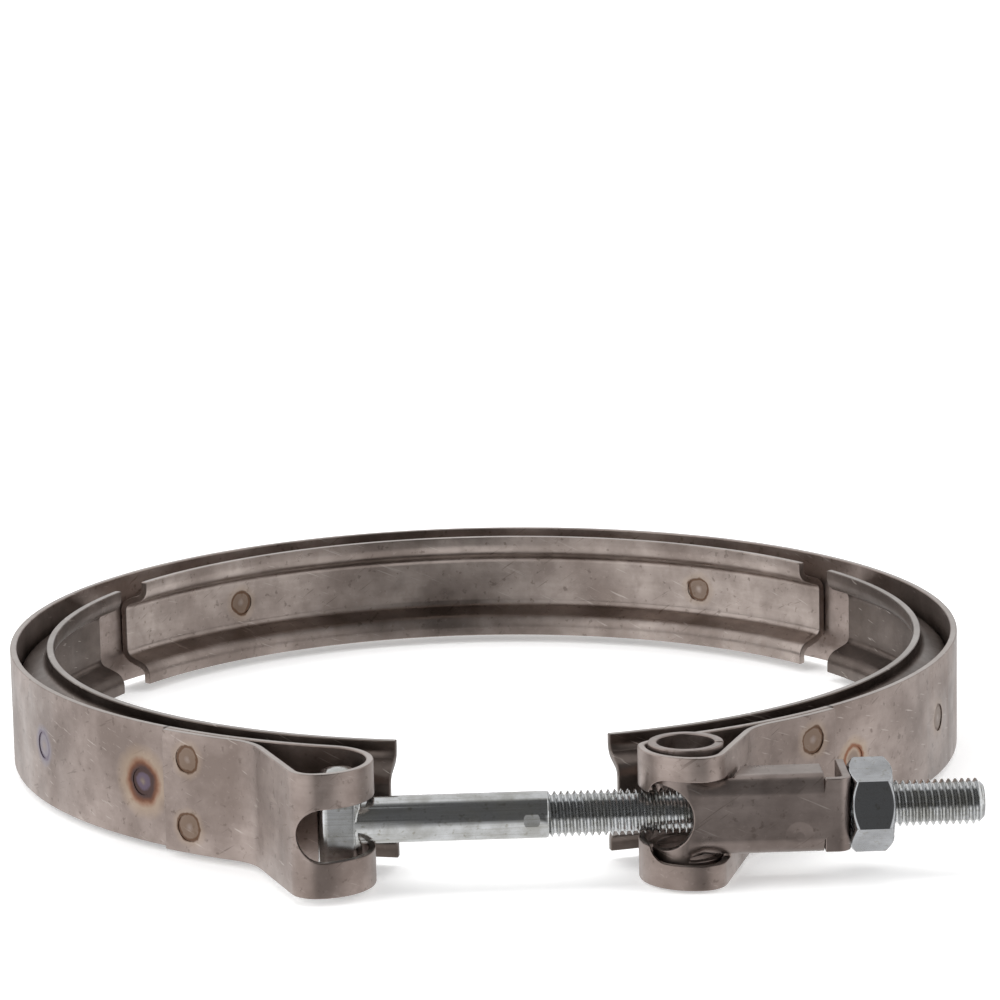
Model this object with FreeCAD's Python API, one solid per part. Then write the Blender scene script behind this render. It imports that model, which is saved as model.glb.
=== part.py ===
import FreeCAD, Part
import os
from math import asin, cos, degrees, radians, sin, sqrt, tan

# V band clamp for a round pipe joint, drawn in closed position.
# Z is the ring's axis, z = 0 is the middle of the V groove, and the bolt lies across
# the front (-Y) and runs along +X from its T head to its nut.

# Band: one strip, bent to a ring, with both ends folded into loops
BAND_OUTER_R = 71.0
BAND_THICKNESS = 1.0
BAND_WIDTH = 17.2
WELD_GAP = 0.1

# Loops, measured on the middle of the strip's thickness, angles from the front
LOOP_ANGLE = 19.2
LOOP_CORNER_R = 3.4
LEG_LEAN = 19.0
TAB_BEND_R = 9.0
TAB_END_ANGLE = 40.5
RIGHT_LOOP_FLARE = 0.6

# Slots in the loops
BOLT_SLOT_CLEARANCE = 0.5
BOLT_SLOT_SETBACK = 0.8
SLOT_INNER_ANGLE = 25.0
SPOUT_SLOT_CLEARANCE = 0.3
SPOUT_SLOT_START = 32.0
SPOUT_SLOT_REACH = 3.2
SPOUT_SLOT_CORNER_R = 2.2
LEG_SLOT_HEIGHT = 9.2
LEG_SLOT_LENGTH = 7.6
LEG_SLOT_CORNER_R = 2.5

# Spot welds
WELD_R = 1.95
WELD_MARK_DEPTH = 0.12
TAB_WELD_ANGLE = 37.0
TAB_WELD_SPACING = 9.8
FRONT_WELD_ANGLE = 44.6
SIDE_WELD_ANGLE = 65.9
REAR_WELD_ANGLE = 147.0

# Retainers: hat section with a flat web, two sloping walls and two straight lips
RETAINER_THICKNESS = 1.1
RETAINER_HEIGHT = 16.6
WEB_HEIGHT = 8.6
WALL_ANGLE = 20.0
RETAINER_DEPTH = 5.4
FOLD_R = 1.7
FRONT_GAP_ANGLE = 25.8
REAR_GAP_ANGLE = 6.0

# T bolt
SHANK_DIAMETER = 6.35
THREAD_DIAMETER = 6.25
SHANK_LENGTH = 31.2
THREAD_BEYOND_NUT = 12.7
BOLT_END_CHAMFER = 0.9
HEAD_SEAT_CLEARANCE = 0.8
HEAD_HEIGHT = 14.8
HEAD_DEPTH = 6.6
HEAD_EDGE_R = 0.8
STAKE_LENGTH = 2.2
STAKE_SETBACK = 1.3
STAKE_DEPTH = 0.12

# Trunnion: one sheet piece, rolled at one end and folded to a channel at the other
TRUNNION_THICKNESS = 1.2
BARREL_BOLT_CLEARANCE = 0.725
BARREL_SETBACK = 1.3
BARREL_SEAT_CLEARANCE = 0.4
BARREL_OVERHANG = 0.4
BARREL_SEAM_ANGLE = -9.5
BARREL_SEAM_GAP = 0.4
BARREL_SIDE_CLEARANCE = 0.4
EYE_HEIGHT = 9.1
EYE_SETBACK = 0.7
NECK_DEPTH = 1.5
SPOUT_HEIGHT = 11.0
SPOUT_DEPTH = 6.7
SPOUT_EDGE_R = 2.5
SPOUT_CLEARANCE = 0.5
SPOUT_REACH = 20.6
NOTCH_LENGTH = 2.4
END_WALL_HEIGHT = 10.2
END_WALL_BACK = 5.0
END_WALL_BEND_R = 1.2
BOLT_HOLE_CLEARANCE = 0.4

# Hexagon nut
NUT_ACROSS_FLATS = 11.11
NUT_THICKNESS = 5.56
NUT_CHAMFER = 0.7
NUT_FACE_CLEARANCE = 0.15
NUT_THREAD_CLEARANCE = 0.05

# Sizes worked out from the ones above
band_inner_r = BAND_OUTER_R - BAND_THICKNESS
band_mid_r = BAND_OUTER_R - BAND_THICKNESS / 2
tab_mid_r = BAND_OUTER_R + WELD_GAP + BAND_THICKNESS / 2
barrel_outer_r = SHANK_DIAMETER / 2 + BARREL_BOLT_CLEARANCE + TRUNNION_THICKNESS
loop_inner_r = barrel_outer_r + BARREL_SETBACK + BARREL_SEAT_CLEARANCE
loop_mid_r = loop_inner_r + BAND_THICKNESS / 2
loop_outer_r = loop_inner_r + BAND_THICKNESS
loop_x = (band_mid_r + loop_mid_r) * sin(radians(LOOP_ANGLE))
loop_y = -(band_mid_r + loop_mid_r) * cos(radians(LOOP_ANGLE))
corner_y = loop_y - (loop_mid_r - LOOP_CORNER_R)
bolt_slot_height = SHANK_DIAMETER + 2 * BOLT_SLOT_CLEARANCE
spout_slot_height = SPOUT_HEIGHT + 2 * SPOUT_SLOT_CLEARANCE
right_loop_height = BAND_WIDTH + 2 * RIGHT_LOOP_FLARE
head_r = loop_inner_r - HEAD_SEAT_CLEARANCE
barrel_x = loop_x - BARREL_SETBACK
barrel_height = right_loop_height + 2 * BARREL_OVERHANG
barrel_mid_r = barrel_outer_r - TRUNNION_THICKNESS / 2
spout_front_y = loop_y - barrel_outer_r
end_wall_x = loop_x + SPOUT_REACH
nut_x = end_wall_x + NUT_FACE_CLEARANCE
bolt_end_x = nut_x + NUT_THICKNESS + THREAD_BEYOND_NUT
lip_inner_r = band_inner_r - WELD_GAP - RETAINER_DEPTH
retainer_span = (360.0 - FRONT_GAP_ANGLE - 2 * REAR_GAP_ANGLE) / 3

Z_AXIS = FreeCAD.Vector(0, 0, 1)
ORIGIN = FreeCAD.Vector(0, 0, 0)

# Bends take angles from +X, so the front of the ring is at -90 and its rear at 90
FRONT = -90.0
REAR = 90.0


# Small drawing helpers

def point(x, y, z=0.0):
    return FreeCAD.Vector(x, y, z)


def from_front(radius, angle, z=0.0):
    """Point at an angle round the ring, from the front towards the nut side."""
    return point(radius * sin(radians(angle)), -radius * cos(radians(angle)), z)


def bend(center, radius, start, end):
    """Three points of an arc and the directions to the left of the path, angles from +X."""
    side = -1 if end > start else 1
    turns = [radians(a) for a in (start, (start + end) / 2, end)]
    normals = [point(side * cos(a), side * sin(a)) for a in turns]
    return [(center + n * (side * radius), n) for n in normals]


def run(start, end):
    """Two ends of a straight run and the direction to its left."""
    along = end - start
    normal = point(-along.y, along.x).normalize()
    return [(start, normal), (end, normal)]


def offset_edge(segment, distance):
    places = [place + normal * distance for place, normal in segment]
    if len(places) == 3:
        return Part.Arc(*places).toShape()
    return Part.LineSegment(*places).toShape()


def sheet_face(path, thickness):
    """Face of a bent sheet seen along its edge: the path, with half the thickness on each side."""
    left = [offset_edge(segment, thickness / 2) for segment in path]
    right = [offset_edge(segment, -thickness / 2) for segment in path]
    first, first_normal = path[0][0]
    last, last_normal = path[-1][-1]
    caps = []
    for place, normal in ((first, first_normal), (last, last_normal)):
        half = normal * (thickness / 2)
        caps.append(Part.LineSegment(place + half, place - half).toShape())
    return Part.Face(Part.Wire(Part.__sortEdges__(left + [caps[1]] + right + [caps[0]])))


def standing(face, height):
    """Solid of a flat drawing, centred on the middle plane of the groove."""
    lowered = face.translated(point(0, 0, -height / 2))
    return lowered.extrude(Z_AXIS * height)


def rounded_plate(corner, across, up, width, height, radius, depth):
    """Plate with four round corners, from its middle, extruded along the depth vector."""
    half_w = across * (width / 2)
    half_h = up * (height / 2)
    cut_w = across * radius
    cut_h = up * radius
    edges = []
    signs = ((1, 1), (-1, 1), (-1, -1), (1, -1))
    ends = []
    for i, (w, h) in enumerate(signs):
        tip = corner + half_w * w + half_h * h
        middle = tip - (cut_w * w + cut_h * h) * (1 - sqrt(0.5))
        pair = [tip - cut_h * h, tip - cut_w * w]
        if i % 2:
            pair.reverse()
        edges.append(Part.Arc(pair[0], middle, pair[1]).toShape())
        ends.append(pair)
    for i, pair in enumerate(ends):
        following = ends[(i + 1) % 4]
        edges.append(Part.LineSegment(pair[1], following[0]).toShape())
    return Part.Face(Part.Wire(Part.__sortEdges__(edges))).extrude(depth)


def sector(center, inner, outer, start, end, height):
    """Upright block between two radii and two angles from +X, round a centre."""
    block = Part.makeCylinder(outer, height, center - Z_AXIS * (height / 2), Z_AXIS, end - start)
    core = Part.makeCylinder(inner, height, center - Z_AXIS * (height / 2), Z_AXIS)
    block.rotate(center, Z_AXIS, start)
    return block.cut(core)


def radial_disc(inner, outer, radius, angle, z):
    """Round patch that follows the ring between two radii."""
    axis = from_front(1, angle)
    rod = Part.makeCylinder(radius, outer + radius, point(0, 0, z), axis)
    ring = Part.makeCylinder(outer, 4 * radius, point(0, 0, z - 2 * radius), Z_AXIS)
    hole = Part.makeCylinder(inner, 4 * radius, point(0, 0, z - 2 * radius), Z_AXIS)
    return rod.common(ring.cut(hole))


def mirrored(shape):
    return shape.mirror(ORIGIN, point(1, 0, 0))


# Band

def leg_direction():
    return point(sin(radians(LEG_LEAN)), cos(radians(LEG_LEAN)))


def leg_start():
    """Where the loop's corner runs out into the straight outer leg."""
    normal = point(cos(radians(LEG_LEAN)), -sin(radians(LEG_LEAN)))
    return point(loop_x, corner_y) + normal * LOOP_CORNER_R


def tab_bend_center():
    """Centre of the bend that turns the leg onto the tab's circle."""
    normal = point(cos(radians(LEG_LEAN)), -sin(radians(LEG_LEAN)))
    base = leg_start() + normal * TAB_BEND_R
    along = leg_direction()
    drop = base.dot(along)
    reach = tab_mid_r + TAB_BEND_R
    return base + along * (-drop - sqrt(drop ** 2 - base.dot(base) + reach ** 2))


def half_band_path():
    """Middle line of the strip: from the rear, round the loop and back over the ring."""
    loop = point(loop_x, loop_y)
    corner = point(loop_x, corner_y)
    turn = tab_bend_center()
    tab_start = degrees(asin(turn.x / turn.Length))
    leg_end = turn - point(cos(radians(LEG_LEAN)), -sin(radians(LEG_LEAN))) * TAB_BEND_R
    return [
        bend(ORIGIN, band_mid_r, REAR, FRONT + LOOP_ANGLE),
        bend(loop, loop_mid_r, REAR + LOOP_ANGLE, FRONT + 360.0),
        bend(corner, LOOP_CORNER_R, FRONT, -LEG_LEAN),
        run(leg_start(), leg_end),
        bend(turn, TAB_BEND_R, 180.0 - LEG_LEAN, REAR + tab_start),
        bend(ORIGIN, tab_mid_r, FRONT + tab_start, FRONT + TAB_END_ANGLE),
    ]


def half_band(height):
    return standing(sheet_face(half_band_path(), BAND_THICKNESS), height)


def flare_outline():
    """Side view of the right half: full height, and wider where the trunnion spreads the loop."""
    low = BAND_WIDTH / 2
    high = right_loop_height / 2
    near = loop_y - 2 * loop_outer_r
    ends = ((near, high), (loop_y, high), (tab_bend_center().y, low), (BAND_OUTER_R + loop_mid_r, low))
    top = [point(0, y, z) for y, z in ends]
    bottom = [point(0, y, -z) for y, z in reversed(ends)]
    outline = Part.makePolygon(top + bottom + [top[0]])
    return Part.Face(outline).extrude(point(BAND_OUTER_R + loop_mid_r, 0, 0))


def slot_rear(height):
    """Part of a slot behind the fold, with its round end."""
    loop = point(loop_x, loop_y)
    inner_end = 180.0 - SLOT_INNER_ANGLE
    aside = point(cos(radians(inner_end)), sin(radians(inner_end)))
    around = sector(loop, loop_mid_r / 2, loop_outer_r + BAND_THICKNESS, inner_end, 180.0, height)
    return [around, Part.makeCylinder(height / 2, loop_mid_r, loop + aside * (loop_mid_r / 2), aside)]


def bolt_slot():
    """Slot that lets the bolt through the fold, open round to the loop's front."""
    loop = point(loop_x, loop_y)
    half = bolt_slot_height / 2
    front_x = loop_x - BOLT_SLOT_SETBACK
    corner = point(loop_x - 2 * loop_outer_r, loop_y - 2 * loop_outer_r, -half)
    around = Part.makeBox(front_x - corner.x, 2 * loop_outer_r, bolt_slot_height, corner)
    front_end = Part.makeCylinder(half, 2 * loop_outer_r, point(front_x, loop_y), point(0, -1, 0))
    return around.fuse([front_end] + slot_rear(bolt_slot_height))


def spout_slot():
    """Opening in the right loop: narrow at the fold, tall at the front, rounded on the leg."""
    start_x = loop_x - loop_outer_r * cos(radians(SPOUT_SLOT_START))
    end_x = leg_start().x + SPOUT_SLOT_REACH
    window_y = loop_y - loop_outer_r * sin(radians(SPOUT_SLOT_START))
    middle = point((start_x + end_x) / 2, window_y + BAND_THICKNESS)
    window = rounded_plate(middle, point(1, 0, 0), Z_AXIS, end_x - start_x, spout_slot_height,
                           SPOUT_SLOT_CORNER_R, point(0, -2 * loop_outer_r, 0))
    length = LEG_SLOT_LENGTH + loop_outer_r
    middle = point(loop_x, loop_y + LEG_SLOT_LENGTH - length / 2)
    leg = rounded_plate(middle, point(0, 1, 0), Z_AXIS, length, LEG_SLOT_HEIGHT,
                        LEG_SLOT_CORNER_R, point(2 * loop_outer_r, 0, 0))
    fold = Part.makeBox(2 * loop_outer_r, 2 * loop_outer_r, bolt_slot_height,
                        point(loop_x - 2 * loop_outer_r, loop_y - 2 * loop_outer_r, -bolt_slot_height / 2))
    return window.fuse([leg, fold] + slot_rear(bolt_slot_height))


def make_band():
    right = half_band(right_loop_height).common(flare_outline()).cut(spout_slot())
    left = mirrored(half_band(BAND_WIDTH).cut(bolt_slot()))
    band = right.fuse(left)
    tab_outer_r = tab_mid_r + BAND_THICKNESS / 2
    for side in (-1, 1):
        for z in (-TAB_WELD_SPACING / 2, TAB_WELD_SPACING / 2):
            nugget = radial_disc(BAND_OUTER_R - BAND_THICKNESS / 2, tab_mid_r, WELD_R,
                                 side * TAB_WELD_ANGLE, z)
            mark = radial_disc(tab_outer_r - WELD_MARK_DEPTH, tab_outer_r + BAND_THICKNESS, WELD_R,
                               side * TAB_WELD_ANGLE, z)
            band = band.fuse(nugget).cut(mark)
        for angle in (FRONT_WELD_ANGLE, SIDE_WELD_ANGLE, REAR_WELD_ANGLE):
            nugget = radial_disc(band_inner_r - WELD_GAP, band_mid_r, WELD_R, side * angle, 0)
            mark = radial_disc(BAND_OUTER_R - WELD_MARK_DEPTH, BAND_OUTER_R + BAND_THICKNESS, WELD_R,
                               side * angle, 0)
            band = band.fuse(nugget).cut(mark)
    return band.removeSplitter()


# Retainers

def retainer_face():
    """Hat section in the plane through the ring's axis, drawn with x outward and y up."""
    half_t = RETAINER_THICKNESS / 2
    web_r = band_inner_r - WELD_GAP - half_t
    lip_r = lip_inner_r + half_t
    lean = radians(WALL_ANGLE)
    web_z = WEB_HEIGHT / 2
    lip_z = web_z + (web_r - lip_r) * tan(lean)
    top_z = RETAINER_HEIGHT / 2
    setback = FOLD_R * tan((radians(90) - lean) / 2)
    web_bend = point(web_r - FOLD_R, web_z - setback)
    lip_bend = point(lip_r + FOLD_R, lip_z + setback)
    wall_start = point(web_r - setback * cos(lean), web_z + setback * sin(lean))
    wall_end = point(lip_r + setback * cos(lean), lip_z - setback * sin(lean))
    upper = [
        run(point(web_r, 0), point(web_r, web_z - setback)),
        bend(web_bend, FOLD_R, 0.0, 90.0 - WALL_ANGLE),
        run(wall_start, wall_end),
        bend(lip_bend, FOLD_R, 270.0 - WALL_ANGLE, 180.0),
        run(point(lip_r, lip_z + setback), point(lip_r, top_z)),
    ]
    flip = FreeCAD.Rotation(point(1, 0, 0), 180)
    lower = [[(flip * place, flip * normal) for place, normal in reversed(segment)]
             for segment in reversed(upper)]
    return sheet_face(lower + upper, RETAINER_THICKNESS)


def make_retainer(start):
    """One segment, revolved from an angle round the ring, from the front towards the nut side."""
    face = retainer_face().rotated(ORIGIN, point(1, 0, 0), 90)
    face.rotate(ORIGIN, Z_AXIS, start - 90)
    return face.revolve(ORIGIN, Z_AXIS, retainer_span)


# T bolt

def turned(outline, x_axis_y):
    """Solid turned round the bolt's axis from (place along the axis, radius) corners."""
    corners = [point(x, x_axis_y + r) for x, r in outline]
    face = Part.Face(Part.makePolygon(corners + [corners[0]]))
    return face.revolve(point(0, x_axis_y), point(1, 0, 0), 360)


def make_t_bolt():
    head_x = -loop_x
    thread_x = head_x + SHANK_LENGTH
    shank_r = SHANK_DIAMETER / 2
    thread_r = THREAD_DIAMETER / 2
    rod = turned([
        (head_x + HEAD_EDGE_R, 0),
        (head_x + HEAD_EDGE_R, shank_r),
        (thread_x, shank_r),
        (thread_x + shank_r - thread_r, thread_r),
        (bolt_end_x - BOLT_END_CHAMFER, thread_r),
        (bolt_end_x, thread_r - BOLT_END_CHAMFER),
        (bolt_end_x, 0),
    ], loop_y)
    seat = Part.makeCylinder(head_r, HEAD_HEIGHT, point(head_x, loop_y, -HEAD_HEIGHT / 2), Z_AXIS)
    dome_center = point(head_x + head_r / 2, loop_y - head_r)
    dome = Part.makeCylinder(HEAD_HEIGHT / 2, 2 * head_r, dome_center, point(0, 1, 0))
    bar = rounded_plate(point(head_x + head_r, loop_y, -HEAD_HEIGHT / 2), point(1, 0, 0),
                        point(0, 1, 0), 2 * head_r, HEAD_DEPTH, HEAD_EDGE_R, Z_AXIS * HEAD_HEIGHT)
    across = Part.makeCylinder(HEAD_HEIGHT / 2, 2 * head_r, point(head_x - head_r, loop_y),
                               point(1, 0, 0))
    head = bar.common(seat).common(dome).common(across)
    stake = Part.makeBox(STAKE_LENGTH, SHANK_DIAMETER, SHANK_DIAMETER,
                         point(thread_x - STAKE_SETBACK - STAKE_LENGTH,
                               loop_y - 1.5 * SHANK_DIAMETER + STAKE_DEPTH, -shank_r))
    return head.fuse(rod).cut(stake).removeSplitter()


# Trunnion

def barrel():
    """Rolled end: a tube with its seam on the leg's side, open all round for the bolt."""
    center = point(barrel_x, loop_y)
    seam = degrees(BARREL_SEAM_GAP / barrel_mid_r) / 2
    path = [bend(center, barrel_mid_r, 360.0 + BARREL_SEAM_ANGLE - seam, BARREL_SEAM_ANGLE + seam)]
    roll = standing(sheet_face(path, TRUNNION_THICKNESS), barrel_height)
    half = EYE_HEIGHT / 2
    round_x = loop_x - EYE_SETBACK - half
    round_end = Part.makeCylinder(half, 2 * barrel_outer_r, point(round_x, loop_y), point(0, -1, 0))
    fold_side = Part.makeBox(2 * barrel_outer_r, 2 * barrel_outer_r, EYE_HEIGHT,
                             point(round_x - 2 * barrel_outer_r, loop_y - 2 * barrel_outer_r, -half))
    rear = Part.makeBox(4 * barrel_outer_r, 2 * barrel_outer_r, EYE_HEIGHT,
                        point(barrel_x - 2 * barrel_outer_r, loop_y, -half))
    side_height = SPOUT_HEIGHT + 2 * BARREL_SIDE_CLEARANCE
    side = Part.makeBox(barrel_outer_r, barrel_outer_r - TRUNNION_THICKNESS, side_height,
                        point(barrel_x, spout_front_y + TRUNNION_THICKNESS, -side_height / 2))
    return roll.cut(round_end).cut(fold_side).cut(rear).cut(side)


def spout_channel(start_x, end_x):
    """U channel, open towards the ring."""
    half_t = TRUNNION_THICKNESS / 2
    r = SPOUT_EDGE_R - half_t
    side = SPOUT_HEIGHT / 2 - half_t
    front = spout_front_y + half_t
    back = spout_front_y + SPOUT_DEPTH
    lower = bend(point(front + r, -side + r), r, 270.0, 180.0)
    upper = bend(point(front + r, side - r), r, 180.0, 90.0)
    path = [
        run(point(back, -side), point(front + r, -side)),
        lower,
        run(point(front, -side + r), point(front, side - r)),
        upper,
        run(point(front + r, side), point(back, side)),
    ]
    face = sheet_face(path, TRUNNION_THICKNESS)
    face = face.rotated(ORIGIN, point(1, 1, 1), 120)
    return face.translated(point(start_x, 0, 0)).extrude(point(end_x - start_x, 0, 0))


def neck(start_x, end_x):
    """Front of the channel only, shallow enough to pass through the loop's opening."""
    space = Part.makeBox(end_x - start_x, NECK_DEPTH, SPOUT_HEIGHT,
                         point(start_x, spout_front_y, -SPOUT_HEIGHT / 2))
    return spout_channel(start_x, end_x).common(space)


def end_wall():
    """Front plate between the notches and the wall folded from it, with the bolt's hole."""
    half_t = TRUNNION_THICKNESS / 2
    bend_r = END_WALL_BEND_R
    wall_mid_x = end_wall_x - half_t
    front = spout_front_y + half_t
    path = [
        run(point(end_wall_x - TRUNNION_THICKNESS - NOTCH_LENGTH - bend_r, front),
            point(wall_mid_x - bend_r, front)),
        bend(point(wall_mid_x - bend_r, front + bend_r), bend_r, -90.0, 0.0),
        run(point(wall_mid_x, front + bend_r), point(wall_mid_x, loop_y + END_WALL_BACK)),
    ]
    wall = standing(sheet_face(path, TRUNNION_THICKNESS), END_WALL_HEIGHT)
    hole_r = SHANK_DIAMETER / 2 + BOLT_HOLE_CLEARANCE
    hole = Part.makeCylinder(hole_r, 3 * TRUNNION_THICKNESS,
                             point(end_wall_x - 2 * TRUNNION_THICKNESS, loop_y), point(1, 0, 0))
    return wall.cut(hole)


def make_trunnion():
    foot = leg_start()
    flange_rise = spout_front_y + SPOUT_DEPTH - foot.y
    leg_x = foot.x + flange_rise * tan(radians(LEG_LEAN)) + BAND_THICKNESS / cos(radians(LEG_LEAN)) / 2
    spout_x = leg_x + SPOUT_CLEARANCE
    notch_x = end_wall_x - TRUNNION_THICKNESS - NOTCH_LENGTH
    spout = spout_channel(spout_x, notch_x)
    return barrel().fuse([neck(barrel_x, spout_x), spout, end_wall()]).removeSplitter()


# Nut

def make_hex_nut():
    corner_r = NUT_ACROSS_FLATS / sqrt(3)
    corners = [point(nut_x, loop_y + corner_r * sin(radians(a)), corner_r * cos(radians(a)))
               for a in range(0, 361, 60)]
    prism = Part.Face(Part.makePolygon(corners)).extrude(point(NUT_THICKNESS, 0, 0))
    far_x = nut_x + NUT_THICKNESS
    face_r = NUT_ACROSS_FLATS / 2
    lens = turned([
        (nut_x, 0),
        (nut_x, face_r),
        (nut_x + NUT_CHAMFER, corner_r),
        (far_x - NUT_CHAMFER, corner_r),
        (far_x, face_r),
        (far_x, 0),
    ], loop_y)
    bore_r = THREAD_DIAMETER / 2 + NUT_THREAD_CLEARANCE
    bore = Part.makeCylinder(bore_r, NUT_THICKNESS, point(nut_x, loop_y), point(1, 0, 0))
    return prism.common(lens).cut(bore)


nodes = {
    "band": make_band(),
    "retainer_right": make_retainer(FRONT_GAP_ANGLE / 2),
    "retainer_rear": make_retainer(180.0 - retainer_span / 2),
    "retainer_left": make_retainer(360.0 - FRONT_GAP_ANGLE / 2 - retainer_span),
    "t_bolt": make_t_bolt(),
    "trunnion": make_trunnion(),
    "hex_nut": make_hex_nut(),
}

os.makedirs("parts", exist_ok=True)
for name, shape in nodes.items():
    shape.exportStep("parts/" + name + ".step")
    box = shape.optimalBoundingBox()
    print(name, shape.ShapeType, "solids", len(shape.Solids), "valid", shape.isValid(),
          "volume", round(shape.Volume, 1),
          "x", round(box.XMin, 2), round(box.XMax, 2),
          "y", round(box.YMin, 2), round(box.YMax, 2),
          "z", round(box.ZMin, 2), round(box.ZMax, 2))
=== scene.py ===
from math import asin, atan2, cos, pi, radians, sin, sqrt, tan

import bmesh
import bpy
from mathutils import Matrix, Vector


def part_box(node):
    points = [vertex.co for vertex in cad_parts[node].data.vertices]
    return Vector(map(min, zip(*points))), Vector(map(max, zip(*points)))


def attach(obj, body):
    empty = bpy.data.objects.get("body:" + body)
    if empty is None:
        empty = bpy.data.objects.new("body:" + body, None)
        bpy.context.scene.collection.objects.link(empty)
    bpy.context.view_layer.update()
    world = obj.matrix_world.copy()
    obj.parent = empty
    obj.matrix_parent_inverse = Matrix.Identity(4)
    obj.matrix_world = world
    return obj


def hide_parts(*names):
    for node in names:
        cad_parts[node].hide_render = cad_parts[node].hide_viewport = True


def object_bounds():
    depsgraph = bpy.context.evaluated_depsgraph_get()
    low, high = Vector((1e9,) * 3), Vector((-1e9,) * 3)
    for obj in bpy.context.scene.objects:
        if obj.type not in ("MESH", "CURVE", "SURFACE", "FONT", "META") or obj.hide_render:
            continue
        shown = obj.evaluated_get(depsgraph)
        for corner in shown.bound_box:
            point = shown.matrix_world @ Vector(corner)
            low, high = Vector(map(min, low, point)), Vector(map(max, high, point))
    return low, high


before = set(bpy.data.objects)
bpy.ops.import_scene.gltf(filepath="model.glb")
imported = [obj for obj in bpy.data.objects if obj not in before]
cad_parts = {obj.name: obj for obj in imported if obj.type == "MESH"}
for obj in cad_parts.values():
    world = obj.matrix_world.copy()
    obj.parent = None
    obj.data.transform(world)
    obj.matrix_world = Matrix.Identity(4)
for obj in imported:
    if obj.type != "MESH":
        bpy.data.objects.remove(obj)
cad_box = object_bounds()
scene = bpy.context.scene


# Band
# One strip of stainless steel, 1 mm thick, rolled to a ring. Each end is folded outward into a
# loop, slotted for the bolt or the trunnion, and lapped back over the ring with two spot welds.

BAND_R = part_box("band")[1].x
STRIP_THICKNESS = 0.001
STRIP_HEIGHT = 0.0172
LAP_GAP = 0.0001
LOOP_ANGLE = radians(19.2)
LOOP_R = 0.0073
LOOP_FRONT_R = 0.0034
LEG_LEAN = radians(19)
TAB_BEND_R = 0.009
TAB_END_ANGLE = radians(40.5)
LOOP_FLARE = 0.0006
EDGE_ROUND = 0.00018
# How finely bends are divided, how close vertices are one, and how flat or sharp an edge counts.
RING_STEP = radians(2)
LOOP_STEP = radians(5)
BEND_STEP = radians(6)
BLOCK_STEP = radians(3)
MESH_GAP = 1e-6
FINE_GAP = 1e-7
FLAT_ANGLE = radians(0.3)
SHARP_ANGLE = radians(40)
CREASE_ANGLE = radians(50)
strip_mid_r = BAND_R - STRIP_THICKNESS / 2
tab_mid_r = BAND_R + LAP_GAP + STRIP_THICKNESS / 2
loop_x = (strip_mid_r + LOOP_R) * sin(LOOP_ANGLE)
loop_y = -(strip_mid_r + LOOP_R) * cos(LOOP_ANGLE)
loop_front_y = loop_y - (LOOP_R - LOOP_FRONT_R)
loop_center = Vector((loop_x, loop_y, 0))


def from_front(radius, angle, z=0.0):
    """Place round the ring, by its angle from the front towards the nut."""
    return Vector((radius * sin(angle), -radius * cos(angle), z))


def bend_on(bm, lead, center, angle, axis=(0, 0, 1), step=BLOCK_STEP):
    """Carries the leading edge of a sheet round a bend and gives the new leading edge."""
    steps = max(2, round(abs(angle) / step))
    return bmesh.ops.spin(bm, geom=lead, cent=center, axis=axis, angle=angle,
                          steps=steps)["geom_last"]


def straight_on(bm, lead, offset):
    """Carries the leading edge of a sheet straight on."""
    return bmesh.ops.spin(bm, geom=lead, cent=(0, 0, 0), axis=(0, 0, 1), angle=0,
                          dvec=offset, steps=1)["geom_last"]


def merge(bm, apart=FINE_GAP):
    """Merges the vertices that lie in one place."""
    bmesh.ops.remove_doubles(bm, verts=bm.verts, dist=apart)


def piece_from(bm, name):
    """New piece from a finished bmesh, with doubles merged and faces turned outward."""
    merge(bm, MESH_GAP)
    bmesh.ops.recalc_face_normals(bm, faces=bm.faces)
    mesh = bpy.data.meshes.new(name)
    bm.to_mesh(mesh)
    bm.free()
    piece = bpy.data.objects.new(name, mesh)
    scene.collection.objects.link(piece)
    return piece


def settle(piece):
    """Makes the piece's modifiers part of its mesh."""
    graph = bpy.context.evaluated_depsgraph_get()
    mesh = bpy.data.meshes.new_from_object(piece.evaluated_get(graph))
    piece.modifiers.clear()
    piece.data = mesh


def thicken(piece, thickness):
    """Gives a sheet drawn on its middle plane its real thickness."""
    wall = piece.modifiers.new("Wall", "SOLIDIFY")
    wall.thickness = thickness
    wall.offset = 0
    wall.use_even_offset = True
    settle(piece)


def combine(piece, tools, operation="DIFFERENCE"):
    """Cuts, joins or trims a piece with other closed shapes, which are used up."""
    for tool in tools:
        step = piece.modifiers.new("Cut", "BOOLEAN")
        step.operation = operation
        step.solver = "EXACT"
        step.object = tool
        settle(piece)
        bpy.data.objects.remove(tool)


def round_edges(piece, width):
    """Breaks the sharp edges with a small round and shades the faces between them smooth."""
    bm = bmesh.new()
    bm.from_mesh(piece.data)
    merge(bm, MESH_GAP)
    bmesh.ops.dissolve_limit(bm, angle_limit=FLAT_ANGLE, verts=bm.verts, edges=bm.edges)
    if width:
        edges = [e for e in bm.edges if e.is_manifold and e.calc_face_angle() > SHARP_ANGLE]
        bmesh.ops.bevel(bm, geom=edges, offset=width, segments=2, profile=0.5, affect="EDGES",
                        clamp_overlap=False, material=-1)
    for face in bm.faces:
        face.smooth = True
    for edge in bm.edges:
        edge.smooth = not edge.is_manifold or edge.calc_face_angle() < CREASE_ANGLE
    bm.to_mesh(piece.data)
    bm.free()
    normals = piece.modifiers.new("Normals", "WEIGHTED_NORMAL")
    normals.keep_sharp = True
    settle(piece)


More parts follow.
